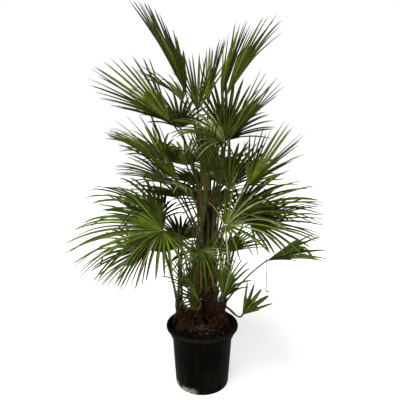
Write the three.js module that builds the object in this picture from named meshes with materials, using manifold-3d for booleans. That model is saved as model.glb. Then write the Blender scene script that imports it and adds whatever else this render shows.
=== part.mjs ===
// A European fan palm grown as a clump in a black nursery pot, 1.6 m tall in all, in millimetres.
// +Z is up and +X is to the right of someone facing the plant. The origin is the middle of the pot's flat
// underside. Bearings are degrees turned from +X towards +Y, and rises are degrees above the level.
import * as THREE from "three";
import { mergeVertices } from "three/addons/utils/BufferGeometryUtils.js";
import Module from "manifold-3d";

const wasm = await Module();
wasm.setup();

// Driving sizes of the pot and of the soil in it
const POT = {
  height: 288,
  rimRadius: 160,
  collarRadius: 142,
  collarDepth: 52,
  bodyRadius: 133,
  baseRadius: 119,
  wall: 3,
  floor: 4,
  lip: 22,
  step: 6,
  heel: 10,
  sides: 40,
};
const DRAIN = { count: 4, first: 37, width: 16, depth: 14, bottom: 14, height: 18 };
const SOIL = {
  edgeLevel: 268,
  moundLevel: 278,
  moundX: -2,
  moundY: 6,
  flatRadius: 112,
  footRadius: 136,
  rings: [1, 0.93, 0.84, 0.75, 0.5, 0.2],
};

// The clearance between pieces that touch in the real plant, and the one that is kept from a crossing leaf
const GAP = 0.3;
const CLEARANCE = 1;

// The stems of the clump: the foot on the mound, the tip, the thickness, and the rows of leaf-base stubs
const STEMS = {
  tall: { foot: [34, 66], tip: [30, 56, 790], radius: 31, flare: 1.25, stubRows: 6 },
  front: { foot: [-28, 20], tip: [-16, -22, 636], radius: 24, flare: 1.3, stubRows: 5 },
  left: { foot: [-92, 40], tip: [-108, 18, 392], radius: 21, flare: 1.2, stubRows: 2 },
  right: { foot: [78, 10], tip: [98, -12, 440], radius: 20, flare: 1.3, stubRows: 2 },
  stump: { foot: [-66, -24], tip: [-72, -30, 326], radius: 19, flare: 1.3, stubRows: 3 },
};
const STEM = { sides: 10, taper: 0.22, flareFade: 9, domeFrom: 0.86, domeLength: 0.16 };
const STEM_STATIONS = [0, 0.05, 0.14, 0.3, 0.5, 0.7, 0.86, 0.94, 1];
const STUB = { length: 36, width: 19, thickness: 7, lean: 24, perRow: 3, seat: 0.72, narrowing: 0.55 };
const STUB_REACH = { lowest: 0.06, highest: 0.3 };

// Sizes shared by the fronds, and what a frond takes where its own row says nothing else. Petioles leave
// the stem one under another, each from further out of its middle. A leaflet's stations are shares of its
// length: the web that joins it to its neighbours ends at the first, and a limp leaflet has one more.
const PETIOLE = { baseWidth: 15, tipWidth: 8, thickness: 0.6, spans: 5, neck: 7 };
const PETIOLE_BEND = { leaving: 0.36, arriving: 0.34 };
const DROP = { first: 12, step: 12 };
const SEAT = { first: 0.3, step: 0.1, last: 0.95 };
const STEEPEST = 88;
const LEAFLET = { pitch: 11.5, width: 0.0375, depth: 5, ridge: 1.5, sag: 1.6 };
const OUTERMOST = { turn: 110, shortening: 0.34 };
const FOLDED_FROM = 20;
const WEB_END = 0.3;
const WEB_MARGIN = 0.4;
const STATIONS = { stiff: [WEB_END, 0.62], limp: [WEB_END, 0.52, 0.76] };
const SHORTEST_SPAN = 0.1;
const LIMP = 0.35;
const USUAL = { blade: 340, spread: 170, fold: 14, roll: 0, limp: 0.3, nod: 12, turn: 0, arch: 7 };

// The fronds that face the front, each stem's from the youngest at its tip to the oldest. A frond's hub is
// where its blade sits on its petiole, and its aim is the bearing and the rise of its middle leaflet.
const FRONDS = {
  tall: [
    { hub: [-20, 66, 1215], aim: [110, 86], blade: 240, spread: 75, fold: 20, turn: -15 },
    { hub: [87, 196, 1270], aim: [12, 75], blade: 333, spread: 70, fold: 5, limp: 0.1, turn: -22 },
    { hub: [24, 128, 1240], aim: [10, 76], blade: 289, spread: 88, fold: 20, limp: 0.36, turn: 14 },
    { hub: [-66, 20, 1281], aim: [195, 61], blade: 405, spread: 124, roll: -15, limp: 0.14, turn: 15 },
    { hub: [92, 20, 1268], aim: [-5, 61], blade: 360, spread: 58, fold: 5, roll: 19 },
    { hub: [-128, -30, 1174], aim: [189, 34], blade: 355, spread: 106, fold: 15, roll: -30, limp: 0.1 },
    { hub: [-85, 160, 1255], aim: [160, 40], blade: 250, spread: 130, turn: 25 },
    {
      hub: [108, -20, 1103], aim: [-24, 49], blade: 305, spread: 50, fold: 18, roll: 40, limp: 0.1,
      turn: 12,
    },
    { hub: [90, -85, 1095], aim: [190, 30], blade: 250, spread: 130, roll: -30, limp: 0.75 },
    { hub: [-99, -60, 938], aim: [181, 45], blade: 350, spread: 90, fold: 12, roll: -17 },
    { hub: [-150, 120, 900], aim: [162, 30], blade: 250, spread: 110, roll: -20, turn: 8 },
    { hub: [100, 130, 1105], aim: [95, 82], blade: 270, spread: 85, limp: 0.2 },
    { hub: [38, 170, 790], aim: [75, 50], blade: 240, spread: 225, limp: 0.6 },
    { hub: [122, 140, 872], aim: [80, 56], blade: 275, spread: 140, turn: -18 },
  ],
  front: [
    { hub: [12, -34, 968], aim: [80, 86], blade: 220, spread: 60, fold: 30, turn: 60 },
    { hub: [25, -80, 968], aim: [-95, 84], blade: 210, spread: 50, turn: -18 },
    { hub: [92, -150, 776], aim: [-17, 21], blade: 265, spread: 235, roll: 38, limp: 0.5, turn: 15 },
    { hub: [-68, -124, 912], aim: [204, 24], blade: 240, spread: 220, limp: 0.55 },
    { hub: [-8, -110, 660], aim: [-90, -20], blade: 205, spread: 230, limp: 0.8 },
  ],
  left: [
    { hub: [-176, 60, 774], aim: [163, 27], blade: 360, spread: 145, roll: -4, limp: 0.4, turn: -45 },
    { hub: [-156, -150, 755], aim: [205, -2], blade: 390, spread: 236, roll: -16, limp: 0.5 },
    { hub: [-222, -20, 642], aim: [196, -14], blade: 275, spread: 145, roll: -20, limp: 0.4 },
    { hub: [-10, -100, 428], aim: [215, 38], blade: 160, spread: 80, roll: -50, nod: 40 },
    { hub: [-62, -50, 470], aim: [140, 62], blade: 180, spread: 120, turn: -50 },
  ],
  right: [
    { hub: [186, -50, 917], aim: [-10, 51], blade: 312, spread: 134, fold: 10, roll: 24, limp: 0.08 },
    { hub: [146, 98, 768], aim: [0, 14], blade: 405, spread: 135, fold: 17, roll: 14 },
    { hub: [86, -66, 430], aim: [-6, 74], blade: 235, spread: 90, fold: 6, roll: 32, limp: 0.5 },
    { hub: [205, 10, 738], aim: [-28, 8], blade: 330, spread: 130, fold: 8, roll: 18, turn: 12 },
    { hub: [272, -56, 599], aim: [-26, 17], blade: 252, spread: 69, fold: 24, roll: 13, limp: 0.16, nod: 24 },
    { hub: [173, -60, 353], aim: [33, 44], blade: 156, spread: 76, fold: 10, roll: 62, limp: 0.1 },
  ],
};

// The fronds behind them come by a rule, one for each turn of the golden angle that points between two
// bearings, from steep and long-stalked near the stem's tip to low and short-stalked further down
const GOLDEN_ANGLE = 137.5;
const BEHIND = {
  tall: { count: 8, tries: 60, from: 68, to: 146, rises: [72, 30], lengths: [560, 360], blade: 300 },
  left: { count: 3, tries: 40, from: 85, to: 160, rises: [66, 30], lengths: [420, 300], blade: 280 },
  right: { count: 2, tries: 40, from: 40, to: 100, rises: [66, 34], lengths: [400, 270], blade: 270 },
};
const BACK_NOD = 26;

// How far a leaflet may bend out of its place, in degrees, and the shares of it that may be kept, to clear
// the others, and the share that stays where nothing else helps
const LIFTS = [0, 5, -5, 10, -10, 16, -16];
const TRIMS = [1, 0.84, 0.68, 0.52];
const CUT_OFF = 0.33;
const TOUCHING = 1e-6;

// The plain finish of each material
const FINISHES = {
  pot: new THREE.MeshStandardMaterial({ color: 0x17191a, roughness: 0.5, metalness: 0 }),
  soil: new THREE.MeshStandardMaterial({ color: 0x1c1512, roughness: 0.95, metalness: 0 }),
  stem: new THREE.MeshStandardMaterial({ color: 0x38271a, roughness: 0.95, metalness: 0 }),
  frond: new THREE.MeshStandardMaterial({ color: 0x34481a, roughness: 0.5, metalness: 0 }),
};

const UP = new THREE.Vector3(0, 0, 1);
const radians = THREE.MathUtils.degToRad;
const { lerp, smoothstep } = THREE.MathUtils;
const vector = (list) => new THREE.Vector3(...list);
const moved = (point, direction, by) => point.clone().addScaledVector(direction, by);
const toward = (bearing, rise) =>
  new THREE.Vector3(
    Math.cos(radians(bearing)) * Math.cos(radians(rise)),
    Math.sin(radians(bearing)) * Math.cos(radians(rise)),
    Math.sin(radians(rise)),
  );

// A closed geometry made a solid that can be joined and cut, and a solid made a geometry again
function solidFrom(geometry) {
  geometry.deleteAttribute("normal");
  geometry.deleteAttribute("uv");
  const merged = mergeVertices(geometry, 1e-3);
  return new wasm.Manifold(
    new wasm.Mesh({
      numProp: 3,
      vertProperties: merged.attributes.position.array,
      triVerts: new Uint32Array(merged.index.array),
    }),
  );
}

function geometryFrom(made) {
  const mesh = made.getMesh();
  const geometry = new THREE.BufferGeometry();
  geometry.setAttribute("position", new THREE.BufferAttribute(new Float32Array(mesh.vertProperties), 3));
  geometry.setIndex(new THREE.BufferAttribute(new Uint32Array(mesh.triVerts), 1));
  return geometry;
}

function faceted(points, triangles) {
  return solidFrom(new THREE.BufferGeometry().setFromPoints(points).setIndex(triangles.flat()));
}

// A closed skin over rings of points that all have the same count, with a flat cap at each end
function skin(rings) {
  const count = rings[0].length;
  const triangles = [];
  for (let ring = 0; ring + 1 < rings.length; ring++) {
    for (let i = 0; i < count; i++) {
      const a = ring * count + i;
      const b = ring * count + ((i + 1) % count);
      triangles.push([a, b, b + count], [a, b + count, a + count]);
    }
  }
  const last = (rings.length - 1) * count;
  for (let i = 1; i + 1 < count; i++) triangles.push([0, i + 1, i], [last, last + i, last + i + 1]);
  return faceted(rings.flat(), triangles);
}

function circle(middle, radius, sides) {
  return Array.from({ length: sides }, (_, i) => moved(middle, toward((360 * i) / sides, 0), radius));
}

// What is already in place, so that a new piece can be kept clear of it
const placed = [];

function boxOf(made) {
  const { min, max } = made.boundingBox();
  return new THREE.Box3(vector(min), vector(max));
}

function remember(made, owner) {
  placed.push({ made, owner, box: boxOf(made) });
}

function isClear(made, owner) {
  const box = boxOf(made);
  return placed.every((other) => {
    if (other.owner === owner || !box.intersectsBox(other.box)) return true;
    return made.intersect(other.made).volume() < TOUCHING;
  });
}

// Pot: a turned shell with a rolled rim, a collar under it and drain slots round its foot
const COLLAR_FOOT = POT.height - POT.collarDepth;

function pot() {
  const { height, rimRadius, collarRadius, bodyRadius, baseRadius, wall, floor, lip, step, heel } = POT;
  const profile = [
    [0, 0],
    [baseRadius - heel * 0.7, 0],
    [baseRadius - heel * 0.2, heel * 0.3],
    [baseRadius, heel],
    [bodyRadius, COLLAR_FOOT - step],
    [collarRadius - step / 2, COLLAR_FOOT],
    [collarRadius, height - lip],
    [rimRadius - lip * 0.2, height - lip * 0.8],
    [rimRadius, height - lip * 0.5],
    [rimRadius, height - lip * 0.15],
    [rimRadius - lip * 0.25, height],
    [collarRadius + wall, height - lip * 0.15],
    [collarRadius - wall, height - lip * 0.65],
    [bodyRadius - wall, COLLAR_FOOT - step],
    [baseRadius - wall, heel],
    [baseRadius - heel * 0.8, floor],
    [0, floor],
  ].map(([r, z]) => new THREE.Vector2(r, z));
  let shell = solidFrom(new THREE.LatheGeometry(profile, POT.sides).rotateX(Math.PI / 2));
  for (let i = 0; i < DRAIN.count; i++) {
    const slot = new THREE.BoxGeometry(DRAIN.depth, DRAIN.width, DRAIN.height);
    slot.translate(baseRadius, 0, DRAIN.bottom + DRAIN.height / 2);
    slot.rotateZ(radians(DRAIN.first + (360 / DRAIN.count) * i));
    shell = shell.subtract(solidFrom(slot));
  }
  return shell;
}

// Soil: it fills the pot and rises to the flat mound that the stems stand on
function soilLevel(x, y) {
  const out = Math.hypot(x - SOIL.moundX, y - SOIL.moundY);
  return lerp(SOIL.moundLevel, SOIL.edgeLevel, smoothstep(out, SOIL.flatRadius, SOIL.footRadius));
}

function soil() {
  const { height, collarRadius, baseRadius, bodyRadius, heel, wall, floor, lip, step, sides } = POT;
  const insideFacets = Math.cos(Math.PI / sides);
  const collarLow = COLLAR_FOOT - step;
  const collarShare = (SOIL.edgeLevel - collarLow) / (height - lip * 0.65 - collarLow);
  const inside = (radius) => (radius - wall) * insideFacets - GAP;
  const level = (radius, z) => circle(new THREE.Vector3(0, 0, z), radius, sides);
  const edge = inside(lerp(bodyRadius, collarRadius, collarShare));
  const ground = SOIL.rings.map((share) => level(edge * share, 0).map((p) => p.setZ(soilLevel(p.x, p.y))));
  const underside = level((baseRadius - heel * 0.8) * insideFacets - GAP, floor + GAP);
  const foot = level(inside(baseRadius), heel + GAP);
  return skin([underside, foot, level(inside(bodyRadius), collarLow), ...ground]);
}

// Stems: where the middle of one runs, and how thick it is, from 0 at the foot to 1 at the tip
const GROUND = SOIL.moundLevel + GAP;

function stemMiddle(stem, share) {
  const foot = new THREE.Vector3(...stem.foot, GROUND);
  const tip = vector(stem.tip);
  const bow = new THREE.Vector3(foot.x, foot.y, (foot.z + tip.z) / 2);
  return new THREE.QuadraticBezierCurve3(foot, bow, tip).getPoint(share);
}

function stemRadius(stem, share) {
  const flared = 1 + (stem.flare - 1) * Math.exp(-share * STEM.flareFade);
  const domed = Math.sqrt(1 - (Math.max(share - STEM.domeFrom, 0) / STEM.domeLength) ** 2);
  return stem.radius * flared * (1 - STEM.taper * share) * domed;
}

function stemSkin(stem, grown = 0) {
  const rings = STEM_STATIONS.map((share) => {
    const middle = moved(stemMiddle(stem, share), UP, share === 1 ? grown : 0);
    return circle(middle, stemRadius(stem, share) + grown, STEM.sides);
  });
  return skin(rings);
}

// A stub is what is left of an old leaf's base: a blunt wedge that leans out of the stem
function stub(stem, share, bearing, grown = 0) {
  const side = toward(bearing + 90, 0);
  const along = toward(bearing, 90 - STUB.lean);
  const face = new THREE.Vector3().crossVectors(side, along);
  const root = moved(stemMiddle(stem, share), toward(bearing, 0), stemRadius(stem, share) * STUB.seat);
  const section = (length, size) =>
    [
      [-0.6, 1],
      [0.6, 1],
      [1, -1],
      [-1, -1],
    ].map(([u, v]) => {
      const across = (u * STUB.width * size) / 2 + Math.sign(u) * grown;
      const thick = (v * STUB.thickness * size) / 2 + v * grown;
      return moved(moved(moved(root, along, length), side, across), face, thick);
    });
  return skin([section(0, 1), section(STUB.length + grown, STUB.narrowing)]);
}

function stemSolid(stem, owner, highest) {
  let made = stemSkin(stem);
  for (let row = 0; row < stem.stubRows; row++) {
    const share = lerp(STUB_REACH.lowest, highest, row / stem.stubRows);
    for (let i = 0; i < STUB.perRow; i++) {
      const bearing = (360 / STUB.perRow) * i + row * GOLDEN_ANGLE;
      if (isClear(stub(stem, share, bearing, CLEARANCE), owner)) {
        made = made.add(stub(stem, share, bearing));
      }
    }
  }
  return made;
}

// Fronds: the share of the stem's height where a frond leaves it, counted down from the tip
const crownShare = (stem, order) => 1 - (DROP.first + order * DROP.step) / (stem.tip[2] - GROUND);

// The directions that a blade is built on, and the run of its petiole from the stem to the hub
function settle(stem, order, row) {
  const own = { ...USUAL, ...row };
  const axis = toward(...own.aim);
  const side = toward(own.aim[0] - 90, 0).applyAxisAngle(axis, radians(own.roll));
  const face = new THREE.Vector3().crossVectors(side, axis);
  const hub = vector(own.hub);
  const middle = stemMiddle(stem, crownShare(stem, order));
  const bearing = THREE.MathUtils.radToDeg(Math.atan2(hub.y - middle.y, hub.x - middle.x)) + own.turn;
  const seat = stem.radius * Math.min(SEAT.last, SEAT.first + order * SEAT.step);
  const root = moved(middle, toward(bearing, 0), seat);
  const length = root.distanceTo(hub);
  const leaving = THREE.MathUtils.radToDeg(Math.asin((hub.z - root.z) / length)) + own.arch;
  const arriving = toward(own.aim[0], Math.min(own.aim[1] + own.nod, STEEPEST));
  const curve = new THREE.CubicBezierCurve3(
    root,
    moved(root, toward(bearing, Math.min(leaving, STEEPEST)), length * PETIOLE_BEND.leaving),
    moved(hub, arriving, -length * PETIOLE_BEND.arriving),
    hub,
  );
  const leafBase = toward(bearing - 90, 0);
  return { ...own, axis, side, face, hub, curve, leafBase, count: Math.round(own.spread / LEAFLET.pitch) };
}

// A petiole is flat above and keeled below, and narrows on its way to the neck of the blade
function petioleRings(frond, grown = 0) {
  const rings = [];
  const end = 1 - PETIOLE.neck / frond.curve.getLength();
  for (let i = 0; i <= PETIOLE.spans; i++) {
    const share = (end * i) / PETIOLE.spans;
    const middle = frond.curve.getPointAt(share);
    const along = frond.curve.getTangentAt(share);
    const wide = frond.leafBase.clone().lerp(frond.side, smoothstep(share, 0.1, 0.9));
    const across = moved(wide, along, -wide.dot(along)).normalize();
    const above = new THREE.Vector3().crossVectors(across, along);
    const width = lerp(PETIOLE.baseWidth, PETIOLE.tipWidth, Math.sqrt(share));
    const thickness = width * PETIOLE.thickness + 2 * grown;
    const corner = (u, v) => moved(moved(middle, across, u * (width / 2 + grown)), above, v * thickness);
    rings.push([corner(1, 0.4), corner(0, -0.6), corner(-1, 0.4)]);
  }
  return rings;
}

const petiole = (frond, grown) => skin(petioleRings(frond, grown));

// A leaflet's line, from the hub to its tip. Its turn is its angle from the middle leaflet, its lift bends
// it up or down where it leaves the web, and its trim is the share of its length that is kept.
function leafletLine(frond, turn, lift = 0, trim = 1) {
  const { axis, side, face } = frond;
  const tilt = radians(frond.fold) * THREE.MathUtils.clamp(turn / radians(FOLDED_FROM), -1, 1);
  const outward = moved(side.clone().multiplyScalar(Math.cos(tilt)), face, Math.sin(tilt));
  const normal = moved(face.clone().multiplyScalar(Math.cos(tilt)), side, -Math.sin(tilt));
  const start = moved(axis.clone().multiplyScalar(Math.cos(turn)), outward, Math.sin(turn));
  const length = frond.blade * (1 - OUTERMOST.shortening * (turn / radians(OUTERMOST.turn)) ** 2);
  const stations = frond.limp > LIMP ? STATIONS.limp : STATIONS.stiff;
  const kept = stations.filter((share) => share === WEB_END || share < trim - SHORTEST_SPAN);
  const line = [];
  let place = frond.hub;
  let before = 0;
  for (const share of [...kept, trim]) {
    const sag = frond.limp * LEAFLET.sag * ((share + before) / 2) ** 2 * Math.cos(Math.asin(start.z));
    const raised = before === 0 ? 0 : Math.tan(radians(lift));
    const along = moved(moved(start, UP, -sag), normal, raised).normalize();
    place = moved(place, along, (share - before) * length);
    line.push({ at: place, across: new THREE.Vector3().crossVectors(along, normal).normalize(), share });
    before = share;
  }
  return { line, normal };
}

const turnOf = (frond, i) => radians((i - (frond.count - 1) / 2) * (frond.spread / frond.count));

// The point where the web ends between two leaflets, or beside the outermost one
function webEnd(frond, i) {
  const at = (j) => leafletLine(frond, turnOf(frond, j)).line[0].at;
  const { count } = frond;
  if (i === 0) return at(0).lerp(at(1), -WEB_MARGIN);
  if (i === count) return at(count - 1).lerp(at(count - 2), -WEB_MARGIN);
  return at(i - 1).lerp(at(i), 0.5);
}

// The places where a leaflet's edges and its keel pass each station between the web's end and its tip
function leafletSections(frond, i, choice, grown = 0) {
  const { line, normal } = leafletLine(frond, turnOf(frond, i), choice.lift, choice.trim);
  const sections = line.slice(1, -1).map(({ at, across, share }) => {
    const half = frond.blade * LEAFLET.width * (1.25 - share / choice.trim) + grown;
    const deep = LEAFLET.depth * (1.2 - share / choice.trim) + grown * 1.5;
    const [left, right] = [-half, half].map((out) => moved(moved(at, normal, grown), across, out));
    return { left, right, keel: moved(at, normal, -deep) };
  });
  return { sections, tip: line.at(-1).at, normal, foot: line[0].at };
}

// The part of a leaflet beyond the web, as a solid of its own for the test of clearance
function freeLeaflet(frond, i, choice, grown) {
  const { sections, tip, normal, foot } = leafletSections(frond, i, choice, grown);
  const [left, right] = [webEnd(frond, i), webEnd(frond, i + 1)].map((end) =>
    moved(end.lerp(foot, 0.04), normal, LEAFLET.ridge + grown),
  );
  const keel = moved(foot, normal, -LEAFLET.depth - grown);
  const rings = [[right, keel, left], ...sections.map((s) => [s.right, s.keel, s.left])];
  rings.push(rings.at(-1).map((p) => p.clone().lerp(tip, 0.995)));
  return skin(rings);
}

// A blade: the web round the hub, and leaflets that are flat above and keeled below. It is open behind the
// hub, where the corners of the opening are given.
function blade(frond, choices, grown = 0) {
  const points = [];
  const triangles = [];
  const put = (p) => points.push(p) - 1;
  const { count, hub, face } = frond;
  const top = put(moved(hub, face, LEAFLET.ridge + grown));
  const bottom = put(moved(hub, face, -LEAFLET.depth - grown));
  const ends = Array.from({ length: count + 1 }, (_, i) =>
    put(moved(webEnd(frond, i), face, LEAFLET.ridge + grown)),
  );
  for (let i = 0; i < count; i++) {
    const { sections, tip, normal, foot } = leafletSections(frond, i, choices[i], grown);
    let [left, right] = [ends[i], ends[i + 1]];
    let keel = put(moved(foot, normal, LEAFLET.ridge - LEAFLET.depth - grown));
    triangles.push([top, right, left], [bottom, left, keel], [bottom, keel, right]);
    for (const section of sections) {
      const [nextLeft, nextRight, nextKeel] = [section.left, section.right, section.keel].map(put);
      triangles.push([left, right, nextRight], [left, nextRight, nextLeft]);
      triangles.push([keel, left, nextLeft], [keel, nextLeft, nextKeel]);
      triangles.push([right, keel, nextKeel], [right, nextKeel, nextRight]);
      [left, right, keel] = [nextLeft, nextRight, nextKeel];
    }
    const end = put(tip);
    triangles.push([left, right, end], [keel, left, end], [right, keel, end]);
  }
  return { points, triangles, top, bottom, first: ends[0], last: ends[count] };
}

// The web alone, closed behind the hub, for the test of clearance
function web(frond, grown = 0) {
  const bare = Array.from({ length: frond.count }, () => ({ lift: 0, trim: CUT_OFF }));
  const { points, triangles, top, bottom, first, last } = blade(frond, bare, grown);
  triangles.push([top, first, bottom], [top, bottom, last]);
  return faceted(points, triangles);
}

// A whole frond: the petiole's skin runs on into the opening behind the blade's hub
function wholeFrond(frond, choices) {
  const { points, triangles, top, bottom, first, last } = blade(frond, choices);
  const rings = petioleRings(frond).map((ring) => ring.map((p) => points.push(p) - 1));
  triangles.push(rings[0].toReversed());
  for (let k = 0; k + 1 < rings.length; k++) {
    for (let i = 0; i < 3; i++) {
      const [a, b] = [rings[k][i], rings[k][(i + 1) % 3]];
      const [nextA, nextB] = [rings[k + 1][i], rings[k + 1][(i + 1) % 3]];
      triangles.push([a, b, nextB], [a, nextB, nextA]);
    }
  }
  const [right, keel, left] = rings.at(-1);
  triangles.push([right, keel, bottom], [right, bottom, last], [keel, left, first], [keel, first, bottom]);
  triangles.push([left, right, top], [left, top, first], [right, last, top]);
  return faceted(points, triangles);
}

// The first way of bending or trimming a leaflet that is clear of everything in place
function chooseLeaflet(frond, i, owner) {
  for (const trim of TRIMS) {
    for (const lift of LIFTS) {
      const choice = { lift, trim };
      if (isClear(freeLeaflet(frond, i, choice, CLEARANCE), owner)) {
        remember(freeLeaflet(frond, i, choice, 0), owner);
        return choice;
      }
    }
  }
  return { lift: 0, trim: CUT_OFF };
}

// What the rule proposes for a frond at the back of a stem, or nothing where it would point to the front
function proposal(stem, rule, order, attempt) {
  const bearing = (attempt * GOLDEN_ANGLE) % 360;
  if (bearing < rule.from || bearing > rule.to) return null;
  const age = attempt / rule.tries;
  const rise = lerp(...rule.rises, age);
  const root = stemMiddle(stem, crownShare(stem, order));
  const hub = moved(root, toward(bearing, rise), lerp(...rule.lengths, age));
  return settle(stem, order, { hub: hub.toArray(), aim: [bearing, rise - BACK_NOD], blade: rule.blade });
}

const plant = new THREE.Group();

function place(name, made, finish) {
  const mesh = new THREE.Mesh(geometryFrom(made), finish);
  mesh.name = name;
  plant.add(mesh);
}

for (const [name, made] of Object.entries({ pot: pot(), soil: soil() })) {
  place(name, made, FINISHES[name]);
  remember(made, name);
}
for (const [name, stem] of Object.entries(STEMS)) remember(stemSkin(stem), name);

// First every petiole and web takes its place, and only then do the leaflets fit themselves in between
const fronds = [];
for (const [name, stem] of Object.entries(STEMS)) {
  (FRONDS[name] ?? []).forEach((row, order) => {
    const owner = `${name}_frond_${order + 1}`;
    fronds.push({ owner, stemName: name, ...settle(stem, order, row) });
  });
}
for (const frond of fronds) {
  remember(petiole(frond), frond.owner);
  remember(web(frond), frond.owner);
}
for (const [name, rule] of Object.entries(BEHIND)) {
  let found = 0;
  for (let attempt = 1; attempt <= rule.tries && found < rule.count; attempt++) {
    if (attempt / rule.tries < found / rule.count) continue;
    const frond = proposal(STEMS[name], rule, FRONDS[name].length + found, attempt);
    if (!frond || !isClear(petiole(frond, CLEARANCE), name) || !isClear(web(frond, CLEARANCE))) continue;
    const owner = `${name}_back_frond_${attempt}`;
    remember(petiole(frond), owner);
    remember(web(frond), owner);
    fronds.push({ owner, stemName: name, ...frond });
    found++;
  }
}
for (const [name, stem] of Object.entries(STEMS)) {
  const count = fronds.filter((frond) => frond.stemName === name).length;
  const made = stemSolid(stem, name, Math.max(crownShare(stem, count), STUB_REACH.highest));
  remember(made, name);
  place(`${name}_stem`, made, FINISHES.stem);
}
for (const frond of fronds) {
  const choices = [];
  for (let i = 0; i < frond.count; i++) choices.push(chooseLeaflet(frond, i, frond.owner));
  const cutter = stemSkin(STEMS[frond.stemName], GAP);
  place(frond.owner, wholeFrond(frond, choices).subtract(cutter), FINISHES.frond);
}

export default plant;
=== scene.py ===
"""A clump-forming fan palm in a black nursery pot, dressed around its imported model, in metres.

The front of the plant faces -Y, and +X is to the right of someone who looks at it. Bearings are degrees
turned from +X towards +Y, and rises are degrees above the level.
"""
import math

import bmesh
import bpy
import numpy as np
from mathutils import Matrix, Quaternion, Vector, noise


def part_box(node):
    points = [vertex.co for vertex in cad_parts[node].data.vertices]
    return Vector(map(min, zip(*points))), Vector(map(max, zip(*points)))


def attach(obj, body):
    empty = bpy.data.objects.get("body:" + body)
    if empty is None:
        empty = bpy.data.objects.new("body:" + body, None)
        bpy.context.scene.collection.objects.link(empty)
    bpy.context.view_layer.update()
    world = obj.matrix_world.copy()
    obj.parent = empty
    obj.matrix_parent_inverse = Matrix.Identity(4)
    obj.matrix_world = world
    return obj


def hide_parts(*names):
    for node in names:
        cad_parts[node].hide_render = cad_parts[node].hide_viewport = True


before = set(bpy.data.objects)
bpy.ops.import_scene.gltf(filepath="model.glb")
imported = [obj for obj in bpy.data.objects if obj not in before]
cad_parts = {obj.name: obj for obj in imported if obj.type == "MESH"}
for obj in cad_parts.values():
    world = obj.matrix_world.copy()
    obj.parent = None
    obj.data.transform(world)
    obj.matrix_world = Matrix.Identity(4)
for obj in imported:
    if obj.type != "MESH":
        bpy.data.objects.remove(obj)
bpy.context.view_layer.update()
bpy.ops.object.select_all(action="DESELECT")


# The pot is a tapered nursery container, blown from black polyethylene, with a rolled lip, a collar under it
# and four drain notches round its foot. It is drawn up ring by ring from a disc, and the notches are cut in.
pot_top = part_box("pot")[1]
LIP_RADIUS = pot_top.x
POT_HEIGHT = pot_top.z
LIP_DEPTH = 0.022
COLLAR_RADIUS = 0.142
COLLAR_FOOT = POT_HEIGHT - 0.052
BODY_RADIUS = 0.133
BASE_RADIUS = 0.119
POT_WALL = 0.003
POT_FLOOR = 0.004
HEEL = 0.010
EDGE_ROUNDING = 0.0008
POT_SIDES = 128
POT_OUTLINE = [
    (BASE_RADIUS - HEEL * 0.7, 0.0),
    (BASE_RADIUS - HEEL * 0.25, HEEL * 0.25),
    (BASE_RADIUS, HEEL),
    (BODY_RADIUS - 0.0036, COLLAR_FOOT - 0.060),
    (BODY_RADIUS, COLLAR_FOOT - 0.006),
    (COLLAR_RADIUS - 0.003, COLLAR_FOOT),
    (COLLAR_RADIUS, COLLAR_FOOT + 0.006),
    (COLLAR_RADIUS + 0.0005, POT_HEIGHT - LIP_DEPTH),
    (LIP_RADIUS - 0.0040, POT_HEIGHT - LIP_DEPTH * 0.86),
    (LIP_RADIUS - 0.0004, POT_HEIGHT - LIP_DEPTH * 0.62),
    (LIP_RADIUS, POT_HEIGHT - LIP_DEPTH * 0.40),
    (LIP_RADIUS - 0.0016, POT_HEIGHT - LIP_DEPTH * 0.14),
    (LIP_RADIUS - 0.0060, POT_HEIGHT),
    (LIP_RADIUS - 0.0125, POT_HEIGHT - 0.0008),
    (COLLAR_RADIUS + 0.001, POT_HEIGHT - LIP_DEPTH * 0.25),
    (COLLAR_RADIUS - POT_WALL, POT_HEIGHT - LIP_DEPTH * 0.65),
    (COLLAR_RADIUS - POT_WALL, COLLAR_FOOT + 0.003),
    (BODY_RADIUS - POT_WALL, COLLAR_FOOT - 0.006),
    (BASE_RADIUS - POT_WALL, HEEL),
    (BASE_RADIUS - HEEL, POT_FLOOR),
]
DRAIN_COUNT = 4
DRAIN_FIRST = 37
DRAIN_SIZE = (0.014, 0.016, 0.018)
DRAIN_MIDDLE = 0.023
PLASTIC_SPECULAR = 0.014
PLASTIC = (0.0011, 0.0010, 0.0005, 1)
PLASTIC_WORN = (0.0056, 0.0050, 0.0031, 1)
# Grey-brown dust on the pot, also the colour of the painted highlight along its lip.
DUST_AND_LIP_HIGHLIGHT = (0.105, 0.093, 0.073, 1)
LIME = (0.43, 0.42, 0.34, 1)
STAIN_BEARING = 220


class Value:
    """A node's output, which takes part in Python sums by adding Math nodes."""

    def __init__(self, finish, output):
        self.finish = finish
        self.output = output

    def maths(self, operation, *inputs):
        return self.finish.node("ShaderNodeMath", {"operation": operation}, list(inputs))

    def __add__(self, other):
        return self.maths("ADD", self, other)

    def __sub__(self, other):
        return self.maths("SUBTRACT", self, other)

    def __rsub__(self, other):
        return self.maths("SUBTRACT", other, self)

    def __mul__(self, other):
        return self.maths("MULTIPLY", self, other)

    def between(self, low, high):
        settings = {"interpolation_type": "SMOOTHSTEP", "clamp": True}
        return self.finish.node("ShaderNodeMapRange", settings, [self, low, high, 0.0, 1.0])

    def sine(self):
        return self.maths("SINE", self)

    __radd__ = __add__
    __rmul__ = __mul__


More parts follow.
